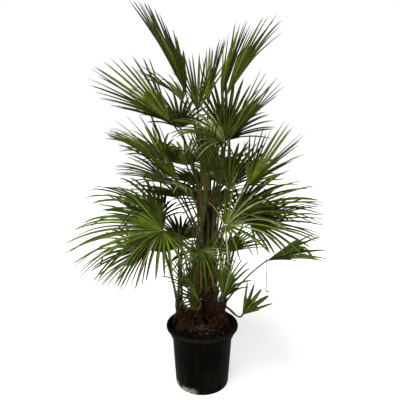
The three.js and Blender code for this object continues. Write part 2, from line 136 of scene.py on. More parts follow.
class Finish:
    """A procedural material, built node by node."""

    def __init__(self, name, specular=0.5):
        self.material = bpy.data.materials.new(name)
        self.material.use_nodes = True
        self.tree = self.material.node_tree
        self.shader = self.tree.nodes["Principled BSDF"]
        self.shader.inputs["Specular IOR Level"].default_value = specular
        self.place = self.node("ShaderNodeTexCoord", {}, [], "Object")

    def node(self, kind, settings, inputs, output=0):
        made = self.tree.nodes.new(kind)
        for setting, value in settings.items():
            setattr(made, setting, value)
        for socket, value in inputs.items() if isinstance(inputs, dict) else enumerate(inputs):
            if isinstance(value, Value):
                self.tree.links.new(value.output, made.inputs[socket])
            else:
                made.inputs[socket].default_value = value
        return Value(self, made.outputs[output])

    def axis(self, name, place=None):
        return self.node("ShaderNodeSeparateXYZ", {}, [place or self.place], name)

    def clouds(self, scale, detail, stretch=(1, 1, 1)):
        sized = self.node("ShaderNodeMapping", {}, {"Vector": self.place, "Scale": stretch})
        return self.node("ShaderNodeTexNoise", {}, {"Vector": sized, "Scale": scale, "Detail": detail})

    def mix(self, share, first, second):
        inputs = {0: share, 6: first, 7: second}
        return self.node("ShaderNodeMix", {"data_type": "RGBA"}, inputs, 2)

    def tinted(self, colour, tint):
        settings = {"data_type": "RGBA", "blend_type": "MULTIPLY"}
        return self.node("ShaderNodeMix", settings, {0: 1.0, 6: colour, 7: tint}, 2)

    def relief(self, height, strength, distance):
        inputs = {"Strength": strength, "Distance": distance, "Height": height}
        return self.node("ShaderNodeBump", {}, inputs)

    def coat(self, colour, roughness, relief):
        for socket, value in (("Base Color", colour), ("Roughness", roughness), ("Normal", relief)):
            self.tree.links.new(value.output, self.shader.inputs[socket])


def nursery_plastic():
    finish = Finish("nursery_plastic", PLASTIC_SPECULAR)
    height = finish.axis("Z")
    grime = finish.clouds(9.0, 6.0)
    streaks = finish.clouds(34.0, 4.0, (1, 1, 0.12))
    specks = finish.clouds(240.0, 2.0)
    worn = finish.mix(streaks.between(0.42, 0.78) * 0.8, PLASTIC, PLASTIC_WORN)
    dusty = (grime * 0.6 + specks * 0.4).between(0.50, 0.80) * (1 - height.between(0.02, 0.26)) * 0.16
    # A lighter band round the top of the lip is a painted highlight, mixed in with the dust.
    painted_lip_highlight = height.between(POT_HEIGHT - 0.020, POT_HEIGHT - 0.006) * (0.35 + grime * 0.5) * 0.75
    dusty_and_highlit = finish.mix(dusty + painted_lip_highlight * 0.20, worn, DUST_AND_LIP_HIGHLIGHT)
    toward_stain = finish.axis("X") * math.cos(math.radians(STAIN_BEARING))
    toward_stain = toward_stain + finish.axis("Y") * math.sin(math.radians(STAIN_BEARING))
    facing = toward_stain.between(0.084, 0.114)
    splash = 1 - (height + (grime - 0.5) * 0.030).between(0.008, 0.036)
    broken = (finish.clouds(60.0, 5.0) * 0.7 + specks * 0.3).between(0.36, 0.56)
    stained = finish.mix(facing * splash * broken * 0.9, dusty_and_highlit, LIME)
    roughness = 0.42 + grime * 0.20 + facing * splash * 0.25
    finish.coat(stained, roughness, finish.relief(streaks * 0.5 + specks * 0.5, 0.25, 0.0012))
    return finish.material


def stepped(outline):
    """Draws the selected disc up through the outline's radii and heights, one ring after another."""
    for (radius, height), (next_radius, next_height) in zip(outline, outline[1:]):
        rise = {"value": (0, 0, next_height - height)}
        bpy.ops.mesh.extrude_region_move(TRANSFORM_OT_translate=rise)
        scale = next_radius / radius
        bpy.ops.transform.resize(value=(scale, scale, 1), center_override=(0, 0, next_height))


bpy.ops.mesh.primitive_circle_add(vertices=POT_SIDES, radius=POT_OUTLINE[0][0], fill_type="NGON")
pot = bpy.context.object
pot.name = "nursery_pot"
bpy.ops.object.mode_set(mode="EDIT")
stepped(POT_OUTLINE)
bpy.ops.mesh.select_all(action="SELECT")
bpy.ops.mesh.remove_doubles(threshold=1e-6)
bpy.ops.mesh.normals_make_consistent(inside=False)
bpy.ops.object.mode_set(mode="OBJECT")
for i in range(DRAIN_COUNT):
    turned = math.radians(DRAIN_FIRST + i * 360 / DRAIN_COUNT)
    spot = (BASE_RADIUS * math.cos(turned), BASE_RADIUS * math.sin(turned), DRAIN_MIDDLE)
    bpy.ops.mesh.primitive_cube_add(size=1, location=spot, rotation=(0, 0, turned), scale=DRAIN_SIZE)
    punch = bpy.context.object
    cut = pot.modifiers.new("drain", "BOOLEAN")
    cut.operation = "DIFFERENCE"
    cut.object = punch
    bpy.context.view_layer.objects.active = pot
    bpy.ops.object.modifier_apply(modifier=cut.name)
    bpy.data.objects.remove(punch)
edges = pot.modifiers.new("edges", "BEVEL")
edges.width = EDGE_ROUNDING
edges.segments = 2
edges.limit_method = "ANGLE"
edges.angle_limit = math.radians(28)
bpy.ops.object.modifier_apply(modifier=edges.name)
bpy.ops.object.select_all(action="DESELECT")
pot.select_set(True)
bpy.ops.object.shade_smooth_by_angle(angle=math.radians(35))
pot.data.materials.append(nursery_plastic())
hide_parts("pot")
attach(pot, "root")


# The soil is a dark potting mix of peat and bark, heaped a little towards the clump and sunk under the lip.
# It is drawn up like the pot, heaped by its own rule, and roughened by a displacement.
SOIL_EDGE_LEVEL = 0.268
SOIL_MOUND_LEVEL = 0.278
SOIL_MOUND = Vector((-0.002, 0.006))
SOIL_FLAT_RADIUS = 0.112
SOIL_FOOT_RADIUS = 0.136
SOIL_CLEAR = 0.0012
SOIL_RINGS = 34
SOIL_INNERMOST = 0.002
SOIL_LUMPS = ((0.030, 0.010), (0.006, 0.006))
PEAT = (0.0035, 0.0018, 0.0013, 1)
PEAT_DRY = (0.013, 0.0085, 0.0065, 1)


def lerp(first, last, share):
    return first + (last - first) * share


def smoothstep(value, low, high):
    share = min(max((value - low) / (high - low), 0), 1)
    return share * share * (3 - 2 * share)


def soil_level(x, y):
    out = (Vector((x, y)) - SOIL_MOUND).length
    return lerp(SOIL_MOUND_LEVEL, SOIL_EDGE_LEVEL, smoothstep(out, SOIL_FLAT_RADIUS, SOIL_FOOT_RADIUS))


def roughen(piece, lumps, middle, raised=""):
    """Presses lumps of each size and depth into a piece, or only upwards into its raised vertices."""
    bpy.context.view_layer.objects.active = piece
    for size, depth in lumps:
        clouds = bpy.data.textures.new("clouds", "CLOUDS")
        clouds.noise_scale = size
        relief = piece.modifiers.new("relief", "DISPLACE")
        relief.texture = clouds
        relief.texture_coords = "LOCAL"
        relief.strength = depth
        relief.mid_level = middle
        if raised:
            relief.direction = "Z"
            relief.vertex_group = raised
        bpy.ops.object.modifier_apply(modifier=relief.name)


def potting_mix():
    finish = Finish("potting_mix", 0.08)
    crumbs = finish.clouds(210.0, 6.0)
    patches = finish.clouds(26.0, 4.0)
    colour = finish.mix((crumbs * 0.6 + patches * 0.5).between(0.45, 0.78), PEAT, PEAT_DRY)
    finish.coat(colour, 0.80 + crumbs * 0.15, finish.relief(crumbs, 0.8, 0.003))
    return finish.material


soil_edge = COLLAR_RADIUS - POT_WALL - SOIL_CLEAR
soil_outline = [
    (BASE_RADIUS - HEEL - SOIL_CLEAR, POT_FLOOR + SOIL_CLEAR),
    (BASE_RADIUS - POT_WALL - SOIL_CLEAR, HEEL + SOIL_CLEAR),
    (BODY_RADIUS - POT_WALL - SOIL_CLEAR, COLLAR_FOOT - 0.006),
    (soil_edge, COLLAR_FOOT + 0.006),
]
for ring in range(SOIL_RINGS):
    soil_outline.append((lerp(soil_edge, SOIL_INNERMOST, ring / SOIL_RINGS), SOIL_EDGE_LEVEL))
radius, level = soil_outline[0]
bpy.ops.mesh.primitive_circle_add(
    vertices=POT_SIDES, radius=radius, fill_type="NGON", location=(0, 0, level)
)
soil = bpy.context.object
soil.name = "potting_soil"
bpy.ops.object.transform_apply(location=True, rotation=False, scale=False)
bpy.ops.object.mode_set(mode="EDIT")
stepped(soil_outline)
bpy.ops.mesh.select_all(action="SELECT")
bpy.ops.mesh.normals_make_consistent(inside=False)
bpy.ops.object.mode_set(mode="OBJECT")
heaped = soil.vertex_groups.new(name="heaped")
for vertex in soil.data.vertices:
    if vertex.co.z > SOIL_EDGE_LEVEL - 0.001:
        vertex.co.z = soil_level(vertex.co.x, vertex.co.y)
        heaped.add([vertex.index], 1.0, "REPLACE")
roughen(soil, SOIL_LUMPS, 0.5, heaped.name)
bpy.ops.object.shade_smooth()
soil.data.materials.append(potting_mix())
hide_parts("soil")
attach(soil, "root")


# On the soil lie chips of bark, crumbs of grit, fallen threads of fibre, pale roots and dry bits of leaf.
# They are small jittered blocks and thin tubes, joined into one mesh.
LITTER_SEED = 11
CHIP_COUNT = 1500
CHIP_KINDS = (0.68, 0.25, 0.03, 0.04)
PALE_KIND, GRIT_KIND = 2, 3
CHIP_RISE = 0.0012
THREAD_COUNT = 260
THREAD_KINDS = (0.40, 0.45, 0.15)
THREAD_TAPER = (1, 1, 1, 1, 0.8, 0.3)
THREAD_HABIT = dict(steps=6, sway=0.30, within=0.97, low=0.0016, high=0.0035, arched=False)
ROOT_COUNT = 34
ROOT_HABIT = dict(steps=8, sway=0.22, within=0.96, low=0.003, high=0.006, arched=True)
ROOT_SOURCE = Vector((-0.012, -0.034))
CHIP_DARK = (0.0055, 0.0030, 0.0022, 1)
CHIP_BROWN = (0.016, 0.0080, 0.0046, 1)
CHIP_PALE = (0.230, 0.180, 0.135, 1)
GRIT = (0.085, 0.080, 0.070, 1)
BLOCK = np.array([(x, y, z) for z in (-1, 1) for y in (-1, 1) for x in (-1, 1)], float)
BLOCK_FACES = [(0, 2, 3, 1), (4, 5, 7, 6), (0, 1, 5, 4), (1, 3, 7, 5), (3, 2, 6, 7), (2, 0, 4, 6)]


class Bundle:
    """The faces of many small things, gathered for one joined mesh, each with its own finish."""

    def __init__(self, *finishes):
        self.finishes = finishes
        self.points = []
        self.faces = []
        self.slots = []
        self.along = []
        self.total = 0

    def add(self, points, faces, slots, along=None):
        """Takes one small thing. One slot can serve all its faces, and along is each point's UV place."""
        self.points.append(points)
        self.faces.extend(tuple(i + self.total for i in face) for face in faces)
        self.slots.extend([slots] * len(faces) if isinstance(slots, int) else slots)
        self.along.append(np.zeros((len(points), 2)) if along is None else along)
        self.total += len(points)

    def made(self, name, slot, replaced=(), smooth=40):
        mesh = bpy.data.meshes.new(name)
        mesh.from_pydata(np.concatenate(self.points), [], self.faces)
        mesh.polygons.foreach_set("material_index", self.slots)
        corners = np.zeros(len(mesh.loops), np.int32)
        mesh.loops.foreach_get("vertex_index", corners)
        mesh.uv_layers.new(name="along")
        mesh.uv_layers["along"].data.foreach_set("uv", np.concatenate(self.along)[corners].ravel())
        for finish in self.finishes:
            mesh.materials.append(finish)
        piece = bpy.data.objects.new(name, mesh)
        bpy.context.scene.collection.objects.link(piece)
        bpy.ops.object.select_all(action="DESELECT")
        piece.select_set(True)
        bpy.context.view_layer.objects.active = piece
        bpy.ops.object.shade_smooth_by_angle(angle=math.radians(smooth))
        if replaced:
            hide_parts(*replaced)
        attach(piece, "root")


def walls(rings, sides):
    """The faces between rings that all have the same number of points."""
    faces = []
    for k in range(rings - 1):
        for i in range(sides):
            a, b = k * sides + i, k * sides + (i + 1) % sides
            faces.append((a, b, b + sides, a + sides))
    return faces


def ends(total, sides):
    """The faces that close the first and the last ring of a loft."""
    return [tuple(reversed(range(sides))), tuple(range(total - sides, total))]


def tube(bundle, path, radii, sides, slot):
    """A thin round strand along a path, closed at both ends."""
    path = [Vector(p) for p in path]
    points = []
    for k, (middle, radius) in enumerate(zip(path, radii)):
        along = (path[min(k + 1, len(path) - 1)] - path[max(k - 1, 0)]).normalized()
        across = along.orthogonal() if k == 0 else across - along * across.dot(along)
        across.normalize()
        above = along.cross(across)
        for i in range(sides):
            turn = math.tau * i / sides
            points.append(middle + (across * math.cos(turn) + above * math.sin(turn)) * radius)
    bundle.add(np.array(points), ends(len(points), sides) + walls(len(path), sides), slot)


def times(colour, share):
    return (*[part * share for part in colour[:3]], 1)


def plain_finish(name, colour, share, scale, roughness, depth=0.0008):
    """A grain between a colour and that colour times a share."""
    finish = Finish(name, 0.10)
    grain = finish.clouds(scale, 5.0)
    grained = finish.mix(grain.between(0.35, 0.68), colour, times(colour, share))
    finish.coat(grained, roughness + grain * 0.2, finish.relief(grain, 0.5, depth))
    return finish.material


def chip(bundle, rng, spot, size, slot):
    corners = BLOCK * (1 + 0.35 * rng.standard_normal((8, 3))) * size
    turned = Matrix.Rotation(rng.random() * math.tau, 3, "Z")
    if rng.random() < 0.4:
        turned = Quaternion(rng.standard_normal(4)).normalized().to_matrix()
    bundle.add(corners @ np.array(turned).T + spot, BLOCK_FACES, slot)


def scattered(rng, share):
    """A chance spot on the soil, within a share of its radius."""
    bearing = rng.random() * math.tau
    out = soil_edge * share * math.sqrt(rng.random())
    return Vector((out * math.cos(bearing), out * math.sin(bearing)))


def inside_soil(spot, share):
    """The spot itself, or the nearest one that is still within a share of the soil's radius."""
    return spot.normalized() * soil_edge * share if spot.length > soil_edge * share else spot


def wander(rng, spot, heading, reach, habit):
    """A path that wanders over the soil, and lies on it or arches up in its middle, as its habit says."""
    path = []
    last = habit["steps"] - 1
    for step in range(last + 1):
        heading += rng.normal(0, habit["sway"])
        step_on = Vector((math.cos(heading), math.sin(heading))) * reach / last
        spot = inside_soil(spot + step_on, habit["within"])
        arch = math.sin(math.pi * step / last) if habit["arched"] else 1
        path.append((*spot, soil_level(*spot) + habit["low"] + habit["high"] * arch * rng.random()))
    return path


litter = Bundle(
    plain_finish("bark_dark", CHIP_DARK, 2.6, 160, 0.75),
    plain_finish("bark_brown", CHIP_BROWN, 0.4, 160, 0.7),
    plain_finish("dry_pale", CHIP_PALE, 0.55, 120, 0.65),
    plain_finish("grit_grey", GRIT, 0.5, 200, 0.7),
)
rng = np.random.default_rng(LITTER_SEED)
for _ in range(CHIP_COUNT):
    spot = scattered(rng, 0.98)
    length = 0.0016 + 0.0042 * rng.random() ** 2
    kind = int(rng.choice(4, p=CHIP_KINDS))
    flat = 1.0 if kind == GRIT_KIND else 0.35 + 0.4 * rng.random()
    size = np.array((length, length * (0.35 + 0.5 * rng.random()), length * flat * 0.6))
    size *= 0.6 if kind == GRIT_KIND else 1
    chip(litter, rng, np.array((*spot, soil_level(*spot) + CHIP_RISE)), size, kind)
for _ in range(THREAD_COUNT):
    spot = scattered(rng, 0.92)
    heading = rng.random() * math.tau
    reach = 0.008 + 0.034 * rng.random() ** 2
    path = wander(rng, spot, heading, reach, THREAD_HABIT)
    thick = 0.00045 + 0.0011 * rng.random() ** 3
    tube(litter, path, [thick * part for part in THREAD_TAPER], 4, int(rng.choice(3, p=THREAD_KINDS)))
for _ in range(ROOT_COUNT):
    heading = math.radians(rng.uniform(165, 375))
    spot = ROOT_SOURCE + Vector((rng.normal(0, 0.018), rng.normal(0, 0.010)))
    reach = rng.uniform(0.025, 0.080)
    path = wander(rng, spot, heading, reach, ROOT_HABIT)
    thick = rng.uniform(0.0006, 0.0013)
    tube(litter, path, [thick * (1 - 0.09 * step) for step in range(len(path))], 5, PALE_KIND)
litter.made("soil_litter", "soil", smooth=25)


# Each stem is a short trunk wrapped in the brown matted fibre of its old leaf bases, with its true flare,
# taper and lean. A cylinder is cut into rings, set by the stem's rule, and given its relief by displacements.
GROUND = 0.2783
GOLDEN_ANGLE = 137.5
STEMS = {
    "tall": dict(foot=(0.034, 0.066), tip=(0.030, 0.056, 0.790), radius=0.031, flare=1.25),
    "front": dict(foot=(-0.028, 0.020), tip=(-0.016, -0.022, 0.636), radius=0.024, flare=1.3),
    "left": dict(foot=(-0.092, 0.040), tip=(-0.108, 0.018, 0.392), radius=0.021, flare=1.2),
    "right": dict(foot=(0.078, 0.010), tip=(0.098, -0.012, 0.440), radius=0.020, flare=1.3),
    "stump": dict(foot=(-0.066, -0.024), tip=(-0.072, -0.030, 0.326), radius=0.019, flare=1.3),
}
STEM_TAPER = 0.22
FLARE_FADE = 9
DOME_FROM = 0.86
DOME_LENGTH = 0.16
STEM_SIDES = 40
STEM_CUTS = 70
STEM_LUMPS = ((0.024, 0.0050), (0.0045, 0.0032))
# Above these heights the fibre, the leaf bases and the strands are painted darker: painted shade under the
# crown.
SHADED_FROM = (0.44, 0.60)
FIBRE_DARK = (0.010, 0.0055, 0.0030, 1)
FIBRE_RUST = (0.072, 0.027, 0.010, 1)
FIBRE_TAN = (0.165, 0.096, 0.048, 1)
UP = Vector((0, 0, 1))


def toward(bearing, rise):
    level = math.cos(math.radians(rise))
    turn = math.radians(bearing)
    return Vector((math.cos(turn) * level, math.sin(turn) * level, math.sin(math.radians(rise))))


def stem_middle(stem, share):
    foot = Vector((*stem["foot"], GROUND))
    tip = Vector(stem["tip"])
    bow = Vector((foot.x, foot.y, (foot.z + tip.z) / 2))
    return foot * (1 - share) ** 2 + bow * 2 * share * (1 - share) + tip * share**2


def stem_radius(stem, share):
    flared = 1 + (stem["flare"] - 1) * math.exp(-share * FLARE_FADE)
    domed = math.sqrt(1 - (max(share - DOME_FROM, 0) / DOME_LENGTH) ** 2)
    return stem["radius"] * flared * (1 - STEM_TAPER * share) * domed


def matted_fibre():
    finish = Finish("matted_fibre", 0.08)
    strands = finish.clouds(95.0, 6.0, (1, 1, 0.16))
    mats = finish.clouds(22.0, 4.0)
    rusty = finish.mix((strands * 0.55 + mats * 0.5).between(0.42, 0.66), FIBRE_DARK, FIBRE_RUST)
    tan = finish.mix((strands + mats * 0.2).between(0.66, 0.84) * 0.6, rusty, FIBRE_TAN)
    # Painted shade: higher up the stem, under the crown, the fibre turns to its darkest colour.
    painted_crown_shade = finish.axis("Z").between(*SHADED_FROM) * 0.8
    colour = finish.mix(painted_crown_shade, tan, FIBRE_DARK)
    finish.coat(colour, 0.78 + strands * 0.15, finish.relief(strands, 0.9, 0.004))
    return finish.material


trunk_finish = matted_fibre()
for stem_name, stem in STEMS.items():
    bpy.ops.mesh.primitive_cylinder_add(vertices=STEM_SIDES, radius=1, depth=1, location=(0, 0, 0.5))
    trunk = bpy.context.object
    trunk.name = f"{stem_name}_trunk"
    bpy.ops.object.transform_apply(location=True, rotation=True, scale=True)
    bpy.ops.object.mode_set(mode="EDIT")
    bpy.ops.mesh.select_all(action="DESELECT")
    shaped = bmesh.from_edit_mesh(trunk.data)
    for edge in shaped.edges:
        edge.select = abs(edge.verts[0].co.z - edge.verts[1].co.z) > 0.5
    bpy.ops.mesh.subdivide(number_cuts=STEM_CUTS)
    bpy.ops.object.mode_set(mode="OBJECT")
    for vertex in trunk.data.vertices:
        share = min(max(vertex.co.z, 0), 1)
        outward = Vector((vertex.co.x, vertex.co.y, 0))
        vertex.co = stem_middle(stem, share) + outward * (stem_radius(stem, share) - 0.0015)
    roughen(trunk, STEM_LUMPS, 0.6)
    for vertex in trunk.data.vertices:
        vertex.co.z = max(vertex.co.z, soil_level(vertex.co.x, vertex.co.y) - 0.004)
    bpy.ops.object.shade_smooth_by_angle(angle=math.radians(60))
    trunk.data.materials.append(trunk_finish)
    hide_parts(f"{stem_name}_stem")
    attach(trunk, "root")


# The fronds stand as the plant grew them: those at the front one by one, each stem's from the youngest at its
# tip to the oldest, and those behind by the turn of the golden angle that their own names carry.
DROP_FIRST = 0.012
DROP_STEP = 0.012
SEAT_FIRST = 0.3
SEAT_STEP = 0.1
SEAT_LAST = 0.95
STEEPEST = 88
LEAVING_REACH = 0.36
ARRIVING_REACH = 0.34
USUAL = dict(
    blade=0.340, spread=170, fold=14, roll=0, limp=0.3, nod=12, turn=0, arch=7, pitch=6.4, wide=1.0, web=0.30,
    tone="deep",
)


def fan(hub, aim, blade, spread, **habit):
    """A frond's row: where its blade sits, its middle leaflet's bearing and rise, its length and spread."""
    return dict(hub=hub, aim=aim, blade=blade, spread=spread, **habit)


FRONDS = {
    "tall": [
        fan((-0.020, 0.066, 1.215), (110, 86), 0.240, 75, fold=20, turn=-15, amber=0.7, tone="amber"),
        fan((0.087, 0.196, 1.270), (12, 75), 0.333, 70, fold=5, limp=0.1, turn=-22, web=0.46, wide=1.35,
            tone="striped"),
        fan((0.024, 0.128, 1.240), (10, 76), 0.289, 88, fold=20, limp=0.36, turn=14, amber=0.6, tone="sage"),
        fan((-0.066, 0.020, 1.281), (195, 61), 0.405, 124, roll=-15, limp=0.14, turn=15, web=0.46, wide=1.5),
        fan((0.092, 0.020, 1.268), (-5, 61), 0.360, 58, fold=5, roll=19, pitch=5, web=0.54, wide=1.6,
            tone="striped"),
        fan((-0.128, -0.030, 1.174), (189, 34), 0.355, 106, fold=15, roll=-30, limp=0.1, wide=1.05,
            tone="striped"),
        fan((-0.085, 0.160, 1.255), (160, 40), 0.250, 130, turn=25, tone="sage"),
        fan((0.108, -0.020, 1.103), (-24, 49), 0.305, 50, fold=18, roll=40, limp=0.1, turn=12, pitch=4.5,
            web=0.54, wide=1.3),
        fan((0.090, -0.085, 1.095), (190, 30), 0.250, 130, roll=-30, limp=0.75, pitch=8, wide=0.6,
            tone="pale"),
        fan((-0.099, -0.060, 0.938), (181, 45), 0.350, 90, fold=12, roll=-17, wide=0.8, web=0.2,
            tone="green"),
        fan((-0.150, 0.120, 0.900), (162, 30), 0.250, 110, roll=-20, turn=8),
        fan((0.100, 0.130, 1.105), (95, 82), 0.270, 85, limp=0.2, pitch=7, wide=1.2),
        fan((0.038, 0.170, 0.790), (75, 50), 0.240, 225, limp=0.6, pitch=9, wide=0.8),
        fan((0.122, 0.140, 0.872), (80, 56), 0.275, 140, turn=-18, pitch=9),
    ],
    "front": [
        fan((0.012, -0.034, 0.968), (80, 86), 0.220, 60, fold=30, turn=60),
        fan((0.025, -0.080, 0.968), (-95, 84), 0.210, 50, turn=-18),
        fan((0.092, -0.150, 0.776), (-17, 21), 0.265, 235, roll=38, limp=0.5, turn=15, pitch=14, wide=0.42,
            web=0.2, tone="pale"),
        fan((-0.068, -0.124, 0.912), (204, 24), 0.240, 220, limp=0.55, pitch=11, wide=0.5, tone="sage"),
        fan((-0.008, -0.110, 0.660), (-90, -20), 0.205, 230, limp=0.8, pitch=10, wide=0.5, web=0.2,
            tone="sage"),
    ],
    "left": [
        fan((-0.176, 0.060, 0.774), (163, 27), 0.360, 145, roll=-4, limp=0.4, turn=-45, pitch=9, wide=0.7,
            tone="green"),
        fan((-0.156, -0.150, 0.755), (205, -2), 0.390, 236, roll=-16, limp=0.5, pitch=5.6, wide=0.88,
            tone="lush"),
        fan((-0.222, -0.020, 0.642), (196, -14), 0.275, 145, roll=-20, limp=0.4, tone="green"),
        fan((-0.010, -0.100, 0.428), (215, 38), 0.160, 80, roll=-50, nod=40, pitch=9, web=0.46, tone="fresh"),
        fan((-0.062, -0.050, 0.470), (140, 62), 0.180, 120, turn=-50, pitch=9, wide=0.8),
    ],
    "right": [
        fan((0.186, -0.050, 0.917), (-10, 51), 0.312, 134, fold=10, roll=24, limp=0.08, wide=0.9,
            tone="olive"),
        fan((0.146, 0.098, 0.768), (0, 14), 0.405, 135, fold=17, roll=14, tone="green"),
        fan((0.086, -0.066, 0.430), (-6, 74), 0.235, 90, fold=6, roll=32, limp=0.5, pitch=8, web=0.54,
            tone="fresh"),
        fan((0.205, 0.010, 0.738), (-28, 8), 0.330, 130, fold=8, roll=18, turn=12),
        fan((0.272, -0.056, 0.599), (-26, 17), 0.252, 69, fold=24, roll=13, limp=0.16, nod=24, pitch=8,
            web=0.62, wide=1.3, tone="bright"),
        fan((0.173, -0.060, 0.353), (33, 44), 0.156, 76, fold=10, roll=62, limp=0.1, pitch=14, web=0.46,
            wide=1.3, tone="bright"),
    ],
}
BEHIND = {
    "tall": dict(tries=60, steep=72, low=30, longest=0.560, shortest=0.360, blade=0.300),
    "left": dict(tries=40, steep=66, low=30, longest=0.420, shortest=0.300, blade=0.280),
    "right": dict(tries=40, steep=66, low=34, longest=0.400, shortest=0.270, blade=0.270),
}
BACK_NOD = 26
BACK_TONES = ("green", "deep", "olive", "fresh", "green")


def crown_share(stem, order):
    return 1 - (DROP_FIRST + order * DROP_STEP) / (stem["tip"][2] - GROUND)


def settle(stem_name, order, row):
    """The directions that a frond's blade is built on, and the bend of its petiole from stem to hub."""
    stem = STEMS[stem_name]
    frond = {**USUAL, **row, "stem": stem_name}
    bearing, rise = frond["aim"]
    axis = toward(bearing, rise)
    side = toward(bearing - 90, 0)
    side.rotate(Quaternion(axis, math.radians(frond["roll"])))
    hub = Vector(frond["hub"])
    middle = stem_middle(stem, crown_share(stem, order))
    leaf_bearing = math.degrees(math.atan2(hub.y - middle.y, hub.x - middle.x)) + frond["turn"]
    seat = stem["radius"] * min(SEAT_LAST, SEAT_FIRST + order * SEAT_STEP)
    root = middle + toward(leaf_bearing, 0) * seat
    length = (hub - root).length
    leaving = math.degrees(math.asin((hub.z - root.z) / length)) + frond["arch"]
    arriving = toward(bearing, min(rise + frond["nod"], STEEPEST))
    first = root + toward(leaf_bearing, min(leaving, STEEPEST)) * length * LEAVING_REACH
    second = hub - arriving * length * ARRIVING_REACH
    frond.update(axis=axis, side=side, face=side.cross(axis), hub=hub, bend=(root, first, second, hub))
    frond.update(leaf_base=toward(leaf_bearing - 90, 0))
    return frond


def proposal(stem_name, order, attempt):
    rule = BEHIND[stem_name]
    age = attempt / rule["tries"]
    rise = lerp(rule["steep"], rule["low"], age)
    bearing = attempt * GOLDEN_ANGLE
    root = stem_middle(STEMS[stem_name], crown_share(STEMS[stem_name], order))
    hub = root + toward(bearing, rise) * lerp(rule["longest"], rule["shortest"], age)
    tone = BACK_TONES[attempt % len(BACK_TONES)]
    row = dict(hub=tuple(hub), aim=(bearing, rise - BACK_NOD), blade=rule["blade"], pitch=8, tone=tone)
    return settle(stem_name, order, row)


fronds = []
for stem_name, rows in FRONDS.items():
    for order, row in enumerate(rows):
        fronds.append(settle(stem_name, order, row))
    prefix = f"{stem_name}_back_frond_"
    attempts = sorted(int(node[len(prefix):]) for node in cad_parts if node.startswith(prefix))
    for found, attempt in enumerate(attempts):
        fronds.append(proposal(stem_name, len(rows) + found, attempt))


# A petiole is a stiff stalk, flat above and rounded below, with hooked spines along both edges. It is green
# near its blade, amber further down, and widens into a brown base. One dry shred of leaf hangs from a hub.
PETIOLE_BASE = 0.015
PETIOLE_TIP = 0.008
PETIOLE_DEPTH = 0.6
PETIOLE_STATIONS = 26
BEND_SAMPLES = 81
PETIOLE_SECTION = [
    (1, 0.30), (0.6, 0.42), (0, 0.38), (-0.6, 0.42), (-1, 0.30), (-0.7, -0.25), (0, -0.6), (0.7, -0.25),
]
GREEN, AMBER, BROWN, PALE = range(4)
CLASP_SHARE = 0.07
TONGUE_LENGTH = 0.030
TONGUE_DEPTH = 0.0035
SPINE_PITCH = 0.011
SPINE_SPAN = (0.10, 0.90)
SPINE_RADII = [0.0011, 0.0006, 0.0001]
SPINE_SEED = 5
AMBER_REACH = dict(tall=0.50, front=0.35, left=0.16, right=0.14)
SPENT = dict(tall=17, front=7)
SPENT_FROM = 15
SPENT_STEP = 1.5
SPENT_FACING = (190, 160)
SPENT_RISE = (72, 84)
SPENT_LENGTH = (0.16, 0.32)
HUNG_FROM = ("right", 4)
HUNG_PATH = [
    (0, 0), (0.001, -0.040), (0, -0.085), (0.001, -0.118), (-0.003, -0.132), (0.004, -0.140), (0.016, -0.139),
]
HUNG_RADII = [0.0015, 0.0014, 0.0014, 0.0014, 0.0015, 0.0026, 0.0012]
STALK_GREEN = (0.054, 0.070, 0.014, 1)
STALK_AMBER = (0.128, 0.074, 0.012, 1)
STALK_BROWN = (0.036, 0.017, 0.008, 1)
SPINE_PALE = (0.22, 0.17, 0.06, 1)


def bezier(bend, share):
    a, b, c, d = bend
    rest = 1 - share
    return a * rest**3 + b * 3 * rest**2 * share + c * 3 * rest * share**2 + d * share**3


def even_run(bend, count):
    """Points at even distances along a bend, each with its direction, and the bend's length."""
    steps = np.linspace(0, 1, BEND_SAMPLES)
    fine = [bezier(bend, share) for share in steps]
    gone = np.concatenate([[0], np.cumsum([(b - a).length for a, b in zip(fine, fine[1:])])])
    shares = np.interp(np.linspace(0, gone[-1], count), gone, steps)
    places = [bezier(bend, share) for share in shares]
    headings = [bezier(bend, min(s + 0.01, 1)) - bezier(bend, max(s - 0.01, 0)) for s in shares]
    return places, [heading.normalized() for heading in headings], gone[-1]


